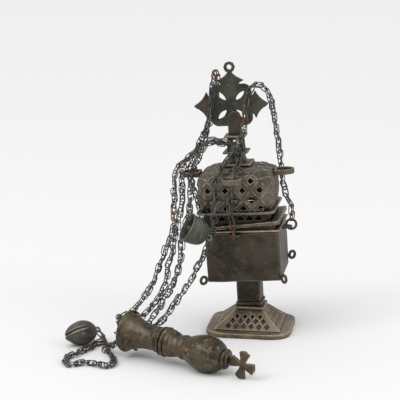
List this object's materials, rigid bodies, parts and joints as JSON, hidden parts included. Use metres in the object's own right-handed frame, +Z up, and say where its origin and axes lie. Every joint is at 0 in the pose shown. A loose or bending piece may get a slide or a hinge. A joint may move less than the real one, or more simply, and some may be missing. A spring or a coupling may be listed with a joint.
{
  "type": "thurible censer",
  "caption": "Hand-made standing censer with pierced lid and cross, chains through guide loops, bells and a turned handle lying beside it.",
  "frame": {"origin": "middle of the foot's underside, on the surface the censer stands on", "axes": "+Z up; -Y out of the bowl's front; the handle and the bells lie towards -X and -Y"},
  "size_m": [0.2163, 0.2304, 0.2699],
  "materials": {
    "bowl_bronze": "dark brown-black patinated bronze, hand made",
    "lid_brass": "grey-brown patinated brass with worn golden edges",
    "foot_brass": "tan-grey worn brass",
    "cross_bronze": "dark olive-black patinated bronze",
    "handle_bronze": "brown-olive bronze, turned and polished by handling",
    "bell_bronze": "grey-green patinated bronze",
    "chain_iron": "blackish grey wire, worn bright in places",
    "rusty_iron": "reddish-brown rusty iron"
  },
  "bodies": {
    "root": {"foot_plate": "foot_brass", "foot_pyramid": "foot_brass", "stem_collar": "foot_brass", "bowl_rim": "foot_brass", "stem_bead": "bowl_bronze", "stem": "bowl_bronze", "bowl": "bowl_bronze", "bowl_eye_front_left": "bowl_bronze", "bowl_eye_front_right": "bowl_bronze", "bowl_eye_rear_right": "bowl_bronze", "bowl_eye_rear_left": "bowl_bronze", "bowl_lug_front": "bowl_bronze", "bowl_lug_right": "bowl_bronze", "bowl_lug_rear": "bowl_bronze", "bowl_lug_left": "bowl_bronze", "coal_pan": "lid_brass", "handle_cap": "handle_bronze", "handle_collar": "handle_bronze", "handle_neck": "handle_bronze", "handle_grip": "handle_bronze", "handle_button": "handle_bronze", "finial_cross": "handle_bronze", "handle_lug_front": "handle_bronze", "handle_lug_lower": "handle_bronze", "chain_right_riser": "chain_iron", "chain_right_fall": "chain_iron", "chain_front_riser": "chain_iron", "chain_front_fall": "chain_iron", "chain_left_riser": "chain_iron", "chain_left_fall": "chain_iron", "chain_rear_riser": "chain_iron", "chain_rear_fall": "chain_iron", "chain_floor": "chain_iron"},
    "lid": {"lid_skirt": "lid_brass", "lid_flange": "lid_brass", "lid_dome": "lid_brass", "lid_guide_front": "lid_brass", "lid_guide_right": "lid_brass", "lid_guide_rear": "lid_brass", "lid_guide_left": "lid_brass", "tower_plate": "lid_brass", "tower_neck": "cross_bronze", "tower_flange_lower": "lid_brass", "tower_lantern": "cross_bronze", "tower_flange_upper": "lid_brass", "cross_socket": "bowl_bronze", "cross": "cross_bronze", "chain_right_drape": "chain_iron", "chain_front_drape": "chain_iron", "chain_left_drape": "chain_iron", "chain_rear_drape": "chain_iron"},
    "ring_front": {"lug_ring_front": "rusty_iron"},
    "ring_right": {"lug_ring_right": "rusty_iron"},
    "ring_rear": {"lug_ring_rear": "rusty_iron"},
    "ring_left": {"lug_ring_left": "rusty_iron"},
    "hanging_bell": {"hanging_bell_shell": "bell_bronze"},
    "hanging_clapper": {"hanging_bell_clapper": "rusty_iron"},
    "floor_bell": {"floor_bell_shell": "bell_bronze"},
    "floor_clapper": {"floor_bell_clapper": "rusty_iron"}
  },
  "joints": [
    {"name": "lid_lift", "type": "slide", "parent": "root", "child": "lid", "axis": [-0.0628, 0, 0.998], "range_m": [0, 0.04]},
    {"name": "ring_front_swing", "type": "hinge", "parent": "root", "child": "ring_front", "pos_m": [-0.01131, -0.0414, 0.10426], "axis": [0, -1, 0], "range_deg": [-15, 15]},
    {"name": "ring_right_swing", "type": "hinge", "parent": "root", "child": "ring_right", "pos_m": [0.03599, -0.006, 0.10723], "axis": [0.998, 0, 0.0628], "range_deg": [-15, 15]},
    {"name": "ring_rear_swing", "type": "hinge", "parent": "root", "child": "ring_rear", "pos_m": [0.00066, 0.0414, 0.10501], "axis": [0, 1, 0], "range_deg": [-15, 15]},
    {"name": "ring_left_swing", "type": "hinge", "parent": "root", "child": "ring_left", "pos_m": [-0.04664, 0.006, 0.10203], "axis": [-0.998, 0, -0.0628], "range_deg": [-15, 15]},
    {"name": "hanging_bell_swing", "type": "hinge", "parent": "root", "child": "hanging_bell", "pos_m": [-0.034, -0.073, 0.11], "axis": [-0.3808, 0.9247, 0], "range_deg": [0, 25]},
    {"name": "hanging_clapper_swing", "type": "hinge", "parent": "hanging_bell", "child": "hanging_clapper", "pos_m": [-0.03611, -0.07387, 0.11124], "axis": [-0.3808, 0.9247, 0], "range_deg": [-10, 10]},
    {"name": "floor_bell_swing", "type": "hinge", "parent": "root", "child": "floor_bell", "pos_m": [-0.144, -0.076, 0.0124], "axis": [-0.6757, 0.7372, 0], "range_deg": [0, 40]},
    {"name": "floor_clapper_swing", "type": "hinge", "parent": "floor_bell", "child": "floor_clapper", "pos_m": [-0.14592, -0.07776, 0.0124], "axis": [-0.6757, 0.7372, 0], "range_deg": [-4, 4]}
  ]
}
